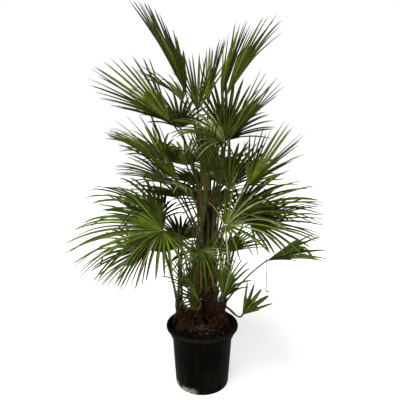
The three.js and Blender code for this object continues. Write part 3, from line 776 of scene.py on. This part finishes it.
def stalk(bundle, rng, frond):
    places, headings, length = even_run(frond["bend"], PETIOLE_STATIONS)
    points, slots, rims = [], [], []
    green_from = frond.get("amber", AMBER_REACH[frond["stem"]] * rng.uniform(0.3, 1.0))
    for k, (middle, along) in enumerate(zip(places, headings)):
        share = k / (PETIOLE_STATIONS - 1)
        wide = frond["leaf_base"].lerp(frond["side"], smoothstep(share, 0.1, 0.9))
        across = (wide - along * wide.dot(along)).normalized()
        above = across.cross(along)
        clasp = max(0, 1 - share / CLASP_SHARE)
        width = lerp(PETIOLE_BASE, PETIOLE_TIP, math.sqrt(share)) * (1 + 1.1 * clasp)
        depth = width * PETIOLE_DEPTH / (1 + 0.8 * clasp)
        for u, v in PETIOLE_SECTION:
            points.append(middle + across * u * width / 2 + above * v * depth)
        rims.append((middle + above * 0.3 * depth, across, along, width / 2))
        if k:
            slots.append(BROWN if share < CLASP_SHARE + 0.03 else AMBER if share < green_from else GREEN)
    sides = len(PETIOLE_SECTION)
    faces = [tuple(range(sides))] + [(b, a, d, c) for a, b, c, d in walls(PETIOLE_STATIONS, sides)]
    finishes = [BROWN] + [slot for slot in slots for _ in range(sides)]
    tip = len(points)
    points.append(frond["hub"] + frond["axis"] * TONGUE_LENGTH - frond["face"] * TONGUE_DEPTH)
    last = (PETIOLE_STATIONS - 1) * sides
    for i in range(sides):
        faces.append((last + (i + 1) % sides, last + i, tip))
        finishes.append(GREEN)
    bundle.add(np.array(points), faces, finishes)
    for n in range(2, int(length / SPINE_PITCH)):
        share = n * SPINE_PITCH / length
        if not SPINE_SPAN[0] < share < SPINE_SPAN[1]:
            continue
        k = share * (PETIOLE_STATIONS - 1)
        middle, across, along, half = rims[int(k)]
        middle = middle.lerp(rims[min(int(k) + 1, PETIOLE_STATIONS - 1)][0], k % 1)
        for hand in (-1, 1):
            out = across * hand
            foot = middle + out * (half - 0.0006) + along * rng.normal(0, 0.0015)
            reach = (0.0035 + 0.0045 * rng.random()) * (1.1 - 0.5 * share)
            peak = foot + (out + along * 0.55).normalized() * reach
            tube(bundle, [foot, foot.lerp(peak, 0.5), peak], SPINE_RADII, 3, PALE)


def spent(stem_name, rng, n):
    """An old petiole that has lost its blade and stands steeply beside its stem."""
    order = SPENT_FROM + n * SPENT_STEP
    bearing = SPENT_FACING[0] + n * GOLDEN_ANGLE % SPENT_FACING[1]
    root = stem_middle(STEMS[stem_name], max(crown_share(STEMS[stem_name], order), 0.05))
    hub = root + toward(bearing, rng.uniform(*SPENT_RISE)) * rng.uniform(*SPENT_LENGTH)
    row = dict(hub=tuple(hub), aim=(bearing, 80), amber=rng.uniform(0.2, 1.0))
    return settle(stem_name, order, row)


stalk_finishes = (
    plain_finish("stalk_green", STALK_GREEN, 0.55, 45, 0.36, 0.0004),
    plain_finish("stalk_amber", STALK_AMBER, 0.50, 45, 0.40, 0.0004),
    plain_finish("stalk_brown", STALK_BROWN, 0.35, 90, 0.65, 0.0012),
    plain_finish("spine_pale", SPINE_PALE, 0.7, 60, 0.45, 0.0002),
)
rng = np.random.default_rng(SPINE_SEED)
for stem_name in FRONDS:
    stalks = Bundle(*stalk_finishes)
    for frond in fronds:
        if frond["stem"] == stem_name:
            stalk(stalks, rng, frond)
    for n in range(SPENT.get(stem_name, 0)):
        stalk(stalks, rng, spent(stem_name, rng, n))
    if stem_name == HUNG_FROM[0]:
        start = Vector(FRONDS[stem_name][HUNG_FROM[1]]["hub"])
        tube(stalks, [start + Vector((x, 0, z)) for x, z in HUNG_PATH], HUNG_RADII, 5, BROWN)
    stalks.made(f"{stem_name}_stalks", "frond")


# A blade is a stiff fan of narrow leaflets, folded like a gutter along their ribs. They are joined in a
# pleated web round the hub, and from a third of their length they stand free and end in two thin points.
LEAFLET_STATIONS = (0.03, 0.10, 0.20, 0.30, 0.38, 0.46, 0.54, 0.62, 0.70, 0.78, 0.86, 0.93)
OUTERMOST_TURN = math.radians(110)
OUTERMOST_SHORTER = 0.34
FOLDED_FROM = math.radians(20)
SAG = 1.6
HALF_WIDTH_PER_DEGREE = 0.0037
WIDTH_SHARES = ((0.0, 0.30), (0.30, 0.90), (0.46, 1.0), (0.70, 0.86), (0.86, 0.58), (1.0, 0.10))
GUTTER = 0.70
PLEAT = 0.9
RIB_SHARE = 0.09
LIMP_KINKED = 0.03
STIFF_KINKED = 0.004
WEBBED_TWIST = 0.45
DRY_FROM = ((0.40, 0.90), (0.44, 0.70), (1.0, 2.0))
LEAF_THICKNESS = 0.0007
LEAF_SEED = 21
MIDRIB, DRY, DEAD = 5, 6, 7
SUNNY_AT = 5
SUNWARD = Vector((-0.40, -0.75, 1.20))
TONES = {
    "deep": (0.66, 0.26, 0.04, 0.02, 0.02),
    "green": (0.24, 0.52, 0.14, 0.06, 0.04),
    "olive": (0.12, 0.26, 0.54, 0.06, 0.02),
    "amber": (0.10, 0.20, 0.66, 0.04, 0.00),
    "fresh": (0.16, 0.38, 0.08, 0.32, 0.06),
    "lush": (0.42, 0.31, 0.02, 0.23, 0.02),
    "sage": (0.16, 0.26, 0.04, 0.16, 0.38),
    "pale": (0.12, 0.28, 0.12, 0.18, 0.30),
    "bright": (0.06, 0.18, 0.12, 0.56, 0.08),
    "striped": (0.46, 0.08, 0.40, 0.04, 0.02),
}
LEAF_COLOURS = {
    "leaf_deep": ((0.031, 0.041, 0.0030, 1), 0.20),
    "leaf_green": ((0.062, 0.080, 0.0062, 1), 0.30),
    "leaf_olive": ((0.110, 0.120, 0.0080, 1), 0.40),
    "leaf_fresh": ((0.072, 0.124, 0.0095, 1), 0.0),
    "leaf_sage": ((0.165, 0.195, 0.072, 1), 0.20),
}
# How dark the painted shade in a leaflet's folds is.
FOLD_SHADE = 0.24
WHITE = (1, 1, 1, 1)
# Painted light and shade: one half of each leaflet is tinted darker by SIDE_SHADE and the other lighter by
# SIDE_LIGHT.
SIDE_SHADE = 0.46
SIDE_LIGHT = 1.34
HUB_AMBER = (0.125, 0.112, 0.008, 1)
RIB = (0.150, 0.170, 0.040, 1)
DRY_TIP = (0.170, 0.130, 0.075, 1)
DRY_DARK = (0.035, 0.024, 0.014, 1)


def leaf_finish(name, colour, warmth):
    finish = Finish(name, 0.07)
    place = finish.node("ShaderNodeUVMap", {"uv_map": "along"}, [])
    across, out = finish.axis("X", place), finish.axis("Y", place)
    mottle = finish.clouds(38.0, 4.0)
    patches = finish.clouds(9.0, 2.0)
    shade = (mottle * 0.6 + patches * 0.5).between(0.38, 0.72)
    plain = finish.mix(shade, times(colour, 0.68), times(colour, 1.45))
    near_hub = (1 - out.between(0.04, 0.26)) * warmth
    warmed = finish.mix(near_hub, plain, HUB_AMBER)
    # Painted light and shade: the half of each leaflet turned towards the key light is painted lighter, the
    # other half darker.
    lit_and_shaded_halves = finish.mix(across.between(-0.25, 0.25), times(WHITE, SIDE_SHADE), times(WHITE, SIDE_LIGHT))
    painted_half_light = finish.tinted(warmed, lit_and_shaded_halves)
    # Painted shade: each leaflet darkens towards its edges, where its folds and the gaps between leaflets lie
    # in shade.
    painted_fold_shade = (across * across).between(0.30, 1.0) * 0.75
    base = finish.mix(painted_fold_shade, painted_half_light, times(colour, FOLD_SHADE))
    veins = (across * 44.0).sine()
    finish.coat(base, 0.50 + mottle * 0.16, finish.relief(veins + mottle, 0.25, 0.0003))
    return finish.material


def leaflet_line(frond, turn, habit):
    """A leaflet's places, sideways directions and upward directions at its stations and at its tip."""
    tilt = math.radians(frond["fold"]) * min(max(turn / FOLDED_FROM, -1), 1)
    outward = frond["side"] * math.cos(tilt) + frond["face"] * math.sin(tilt)
    normal = frond["face"] * math.cos(tilt) - frond["side"] * math.sin(tilt)
    start = frond["axis"] * math.cos(turn) + outward * math.sin(turn)
    sideways = start.cross(normal)
    length = frond["blade"] * (1 - OUTERMOST_SHORTER * (turn / OUTERMOST_TURN) ** 2) * habit["length"]
    level = math.sqrt(max(1 - start.z**2, 0))
    place, before, line = frond["hub"].copy(), 0, []
    for share in (*LEAFLET_STATIONS, 1.0):
        mean = (share + before) / 2
        free = max(mean - frond["web"], 0) / (1 - frond["web"])
        along = start - UP * frond["limp"] * habit["limp"] * SAG * mean**2 * level
        along += (normal * habit["lift"] + sideways * habit["swing"]) * min(free * 5, 1)
        if mean > habit["kink_at"]:
            along = along.normalized() * 0.5 + sideways * habit["kink"].x - UP * habit["kink"].y
        along.normalize()
        place = place + along * (share - before) * length
        across = along.cross(normal).normalized()
        above = across.cross(along)
        twist = habit["twist"] * free
        turned = across * math.cos(twist) + above * math.sin(twist)
        line.append((place, turned, above * math.cos(twist) - across * math.sin(twist)))
        before = share
    return line


def habits(rng, count, kinked, loose):
    """How each leaflet of a blade departs from the plain fan. Neighbours lean together, and a few kink."""
    seed = rng.random() * 100
    made = []
    for i in range(count):
        wave = noise.noise(Vector((i * 0.33, seed, 0)))
        slow = noise.noise(Vector((i * 0.45, seed, 7)))
        edge = abs(i / (count - 1) - 0.5) * 2
        shorter = 0.10 if rng.random() < 0.08 else 0
        habit = dict(
            length=min(1 + 0.045 * rng.standard_normal() - shorter, 1.03),
            width=(1 - 0.40 * edge**3) * rng.uniform(0.80, 1.12),
            limp=rng.uniform(0.6, 1.3) * (1.7 if rng.random() < 0.07 else 1),
            lift=math.tan(math.radians(9 * wave + 2.4 * rng.standard_normal())),
            swing=math.tan(math.radians(4.5 * slow + 1.5 * rng.standard_normal())),
            twist=math.radians(55 * slow + 20 * rng.standard_normal()) * loose,
            kink_at=rng.uniform(0.6, 0.85) if rng.random() < kinked else 2.0,
            kink=Vector((rng.normal(0, 0.5), rng.uniform(0.2, 0.8))),
        )
        made.append(habit)
    return made


def blade(bundle, rng, frond):
    count = max(round(frond["spread"] / frond["pitch"]), 5)
    kinked = LIMP_KINKED if frond["limp"] >= 0.4 else STIFF_KINKED
    kinds = habits(rng, count, kinked, WEBBED_TWIST if frond["web"] > 0.4 else 1)
    turns = [math.radians((i - (count - 1) / 2) * frond["spread"] / count) for i in range(count)]
    lines = [leaflet_line(frond, turn, habit) for turn, habit in zip(turns, kinds)]
    widest = HALF_WIDTH_PER_DEGREE * frond["pitch"] * frond["blade"] * frond["wide"]
    for i, (line, habit) in enumerate(zip(lines, kinds)):
        points, along = [], []
        for k, share in enumerate(LEAFLET_STATIONS):
            place, across, above = line[k]
            half = np.interp(share, *zip(*WIDTH_SHARES)) * widest * habit["width"]
            gutter = half * GUTTER * (1.1 - 0.5 * share)
            if share <= frond["web"] + 0.001:
                pitch = math.radians(frond["spread"] / count) * share * frond["blade"]
                half = pitch / 2
                between = lines[min(i + 1, count - 1)][k][0] - lines[max(i - 1, 0)][k][0]
                across = between.normalized() if between.length > 1e-6 else across
                gutter = half * PLEAT
            thick = LEAF_THICKNESS * (1.2 - 0.7 * share)
            rib = half * RIB_SHARE
            ring = ((-half, gutter), (-rib, 0), (rib, 0), (half, gutter), (rib, -thick), (-rib, -thick))
            for out, height in ring:
                points.append(place + across * out + above * height)
                along.append((out / half, share))
        leaf = int(rng.choice(5, p=TONES[frond["tone"]]))
        # Each leaflet's UV is flipped so that its painted lighter half is the one turned towards the key
        # light.
        sunny = 1 if line[SUNNY_AT][1].dot(SUNWARD) < 0 else -1
        along = [(out * sunny, share) for out, share in along]
        fate = rng.random()
        dry_from = next(start for chance, start in DRY_FROM if fate < chance)
        faces, slots = [tuple(reversed(range(6)))] + walls(len(LEAFLET_STATIONS), 6), [leaf]
        for share in LEAFLET_STATIONS[:-1]:
            slots += [DRY] * 6 if share >= dry_from else [leaf, MIDRIB, leaf, leaf, MIDRIB, leaf]
        last = (len(LEAFLET_STATIONS) - 1) * 6
        place, across, above = line[-1]
        gap = 0.0012 + 0.0016 * rng.random()
        points.append(place - across * gap)
        points.append(place + across * gap - (place - line[-2][0]) * 0.25 * rng.random())
        along += [(-0.5 * sunny, 1), (0.5 * sunny, 1)]
        end = leaf if dry_from > 1 else DRY if rng.random() < 0.6 else DEAD
        near, far = last + 6, last + 7
        corners = ((5, 0, near), (0, 1, near), (1, 5, near), (2, 3, far), (3, 4, far), (4, 2, far))
        faces += [(last + j, last + following, peak) for j, following, peak in corners]
        faces.append((last + 1, last + 2, last + 4, last + 5))
        slots += [end] * 7
        bundle.add(np.array(points), faces, slots, np.array(along))
    crest = [frond["hub"] + frond["side"] * 0.006 * u - frond["axis"] * 0.002 for u in (-1, 0, 1)]
    crest = [p + frond["face"] * h for p, h in zip(crest, (0.001, 0.005, 0.001))]
    tube(bundle, crest, [0.0010, 0.0018, 0.0010], 5, MIDRIB)


leaf_finishes = [leaf_finish(name, colour, warmth) for name, (colour, warmth) in LEAF_COLOURS.items()]
leaf_finishes += [
    plain_finish("leaf_rib", RIB, 0.6, 60, 0.45, 0.0002),
    plain_finish("leaf_dry", DRY_TIP, 0.5, 60, 0.6, 0.0003),
    plain_finish("leaf_dead", DRY_DARK, 0.5, 60, 0.65, 0.0003),
]
rng = np.random.default_rng(LEAF_SEED)
for stem_name in FRONDS:
    leaves = Bundle(*leaf_finishes)
    for frond in fronds:
        if frond["stem"] == stem_name:
            blade(leaves, rng, frond)
    nodes = [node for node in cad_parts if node.startswith(stem_name) and "frond" in node]
    leaves.made(f"{stem_name}_leaflets", "frond", nodes, 34)


# Old leaf bases cover the stems: blunt brown tongues in a golden spiral, cut short or torn off, with loose
# fibres of their sheaths matted round and between them. They are small lofts and thin strands, joined.
BOOT_SEED = 31
BOOT_PITCH = 0.0125
BOOT_LENGTH = 0.044
BOOT_WIDTH = 0.024
BOOT_LEAN = 22
BOOT_CROWDING = 1.6
BOOT_KINDS = (0.55, 0.45)
DARK_BOOT, CUT_END = 1, 2
STRAND_PITCH = 0.00023
STRAND_KINDS = (0.40, 0.40, 0.20)
# The strand kinds high on the stems, mostly dark: painted shade under the crown.
SHADED_KINDS = (0.86, 0.12, 0.02)
BOOT_SECTION = [
    (1, 0.0), (0.6, 0.75), (0, 1), (-0.6, 0.75), (-1, 0.0), (-0.6, -0.35), (0, -0.45), (0.6, -0.35),
]
BOOT_SHAPES = ((0, 1.15, 0.55), (0.35, 1.0, 1.0), (0.8, 0.74, 0.95), (1.0, 0.64, 0.85))
SKIRTS = dict(left=120, stump=90, front=40, right=36, tall=20)
SKIRT_KINDS = (0.16, 0.42, 0.42)
CUT_PALE = (0.22, 0.135, 0.080, 1)
BOOT_BROWN = (0.058, 0.025, 0.011, 1)
BOOT_DARK = (0.014, 0.007, 0.004, 1)


def boot(bundle, rng, stem, share, bearing, scale):
    side = toward(bearing + 90, 0)
    lean = BOOT_LEAN + rng.normal(0, 5)
    along = toward(bearing, 90 - lean)
    face = along.cross(side) * -1
    start = stem_middle(stem, share) + toward(bearing, 0) * (stem_radius(stem, share) - 0.004)
    length = BOOT_LENGTH * scale * rng.uniform(0.65, 1.25)
    skew = rng.normal(0, 0.18)
    points = []
    for step, width, depth in BOOT_SHAPES:
        middle = start + along * length * step + toward(bearing, 0) * 0.004 * step**2
        for u, v in BOOT_SECTION:
            reach = u * BOOT_WIDTH / 2 * width * scale
            wrap = -0.35 * (u * BOOT_WIDTH / 2 * scale) ** 2 / stem["radius"]
            ragged = along * (reach * skew + rng.normal(0, 0.0012)) if step == 1.0 else Vector()
            points.append(middle + side * reach + face * (v * 0.0048 * depth * scale + wrap) + ragged)
    sides = len(BOOT_SECTION)
    # Painted shade: leaf bases high on a stem, under the crown, all take the dark finish, and only low ones
    # get pale cut ends.
    slot = DARK_BOOT if start.z > SHADED_FROM[1] else int(rng.choice(2, p=BOOT_KINDS))
    faces = walls(len(BOOT_SHAPES), sides)
    cut = CUT_END if rng.random() < 0.6 and start.z < SHADED_FROM[0] else DARK_BOOT
    slots = [slot] * len(faces) + [DARK_BOOT, cut]
    bundle.add(np.array(points), faces + ends(len(points), sides), slots)


def strand(bundle, rng, stem, highest):
    share = rng.uniform(0.0, highest)
    turn = rng.random() * 360
    slope = rng.normal(0, 1.0)
    reach = rng.uniform(0.012, 0.045)
    height = stem["tip"][2] - GROUND
    lift = rng.uniform(0.0005, 0.005)
    flare = rng.uniform(0.0, 0.010) if rng.random() < 0.30 else 0.0
    path = []
    for step in range(5):
        along = step / 4
        here = min(share + along * reach / height, 1.0)
        radius = stem_radius(stem, here) + lift + flare * along**2
        bearing = turn + slope * 22 * along + rng.normal(0, 2)
        path.append(stem_middle(stem, here) + toward(bearing, 0) * radius)
    thick = rng.uniform(0.00022, 0.00055)
    # Painted shade: strands that start high on a stem, under the crown, mostly take the dark finish.
    slot = int(rng.choice(3, p=SHADED_KINDS if path[0].z > SHADED_FROM[1] else STRAND_KINDS))
    tube(bundle, path, [thick * part for part in THREAD_TAPER[1:]], 3, slot)


def skirt(bundle, rng, stem):
    """A coarse fibre that has slipped down round a stem's foot and splays out over the soil."""
    foot = stem_middle(stem, 0)
    turn = rng.random() * 360
    sway = rng.normal(0, 16)
    inside = stem_radius(stem, 0.02) - 0.003
    reach = rng.uniform(0.012, 0.044)
    high = rng.uniform(0.004, 0.046)
    path = []
    for step in range(6):
        along = step / 5
        spot = foot + toward(turn + sway * along, 0) * (inside + reach * along)
        level = inside_soil(spot.xy, 0.96)
        path.append((*level, soil_level(*level) + 0.002 + high * (1 - along**1.5)))
    thick = rng.uniform(0.0005, 0.0016)
    slot = int(rng.choice(3, p=SKIRT_KINDS))
    tube(bundle, path, [thick * part for part in THREAD_TAPER], 4, slot)


boot_finishes = (
    plain_finish("boot_brown", BOOT_BROWN, 0.35, 120, 0.7, 0.0012),
    plain_finish("boot_dark", BOOT_DARK, 2.2, 120, 0.75, 0.0012),
    plain_finish("cut_pale", CUT_PALE, 0.5, 180, 0.8, 0.0006),
)
strand_finishes = (
    plain_finish("strand_dark", times(FIBRE_DARK, 1.2), 2.0, 80, 0.7, 0.0002),
    plain_finish("strand_rust", FIBRE_RUST, 0.5, 80, 0.65, 0.0002),
    plain_finish("strand_tan", FIBRE_TAN, 0.6, 80, 0.6, 0.0002),
)
rng = np.random.default_rng(BOOT_SEED)
boots = Bundle(*boot_finishes)
strands = Bundle(*strand_finishes)
for stem_name, stem in STEMS.items():
    height = stem["tip"][2] - GROUND
    borne = sum(frond["stem"] == stem_name for frond in fronds)
    highest = max(crown_share(stem, borne), 0.3)
    scale = 0.55 + 0.45 * stem["radius"] / STEMS["tall"]["radius"]
    count = int(height * highest / BOOT_PITCH * BOOT_CROWDING)
    for n in range(count):
        share = 0.01 + (highest + 0.10) * n / count
        boot(boots, rng, stem, share, n * GOLDEN_ANGLE + rng.normal(0, 6), scale)
    for _ in range(int(height / STRAND_PITCH)):
        strand(strands, rng, stem, min(highest + 0.35, 0.99))
for stem_name, count in SKIRTS.items():
    for _ in range(count):
        skirt(strands, rng, STEMS[stem_name])
boots.made("leaf_bases", "stem", smooth=45)
strands.made("loose_fibres", "stem", smooth=60)


# The plant stands on a plain pale floor under large soft lights, before a white world, and is seen from a
# little above, from where the photograph was taken.
FLOOR_SIZE = 12.0
PAPER = {
    "Base Color": (0.55, 0.55, 0.545, 1),
    "Roughness": 0.9,
    "Emission Color": (1, 1, 0.99, 1),
    "Emission Strength": 0.70,
}
CAMERA_PLACE = (-0.010, -1.857, 1.246)
CAMERA_DOWN = 12.1
CAMERA_LENS = 40.5
DOME_LIGHT = 0.140
SUNS = {
    "key_light": dict(strength=3.35, softness=36, source=(-0.40, -0.50, 1.6)),
    "fill_light": dict(strength=0.9, softness=40, source=(-0.30, -1.00, 0.50)),
}

bpy.ops.mesh.primitive_plane_add(size=FLOOR_SIZE)
floor = bpy.context.object
floor.name = "studio_floor"
paper = Finish("studio_paper")
for socket, value in PAPER.items():
    paper.shader.inputs[socket].default_value = value
floor.data.materials.append(paper.material)

world = bpy.data.worlds.new("studio")
world.use_nodes = True
backdrop = world.node_tree.nodes["Background"]
backdrop.inputs["Color"].default_value = (1, 1, 1, 1)
seen = world.node_tree.nodes.new("ShaderNodeLightPath")
shown = world.node_tree.nodes.new("ShaderNodeMapRange")
shown.inputs["To Min"].default_value = DOME_LIGHT
world.node_tree.links.new(seen.outputs["Is Camera Ray"], shown.inputs["Value"])
world.node_tree.links.new(shown.outputs["Result"], backdrop.inputs["Strength"])
bpy.context.scene.world = world

for name, sun in SUNS.items():
    light_data = bpy.data.lights.new(name, "SUN")
    light_data.energy = sun["strength"]
    light_data.angle = math.radians(sun["softness"])
    light = bpy.data.objects.new(name, light_data)
    light.rotation_mode = "QUATERNION"
    light.rotation_quaternion = Vector(sun["source"]).to_track_quat("Z", "Y")
    bpy.context.scene.collection.objects.link(light)

camera_data = bpy.data.cameras.new("camera")
camera_data.sensor_width = 36
camera_data.lens = CAMERA_LENS
camera = bpy.data.objects.new("camera", camera_data)
camera.location = CAMERA_PLACE
camera.rotation_euler = (math.radians(90 - CAMERA_DOWN), 0, 0)
bpy.context.scene.collection.objects.link(camera)
bpy.context.scene.camera = camera
bpy.context.scene.view_settings.view_transform = "Standard"
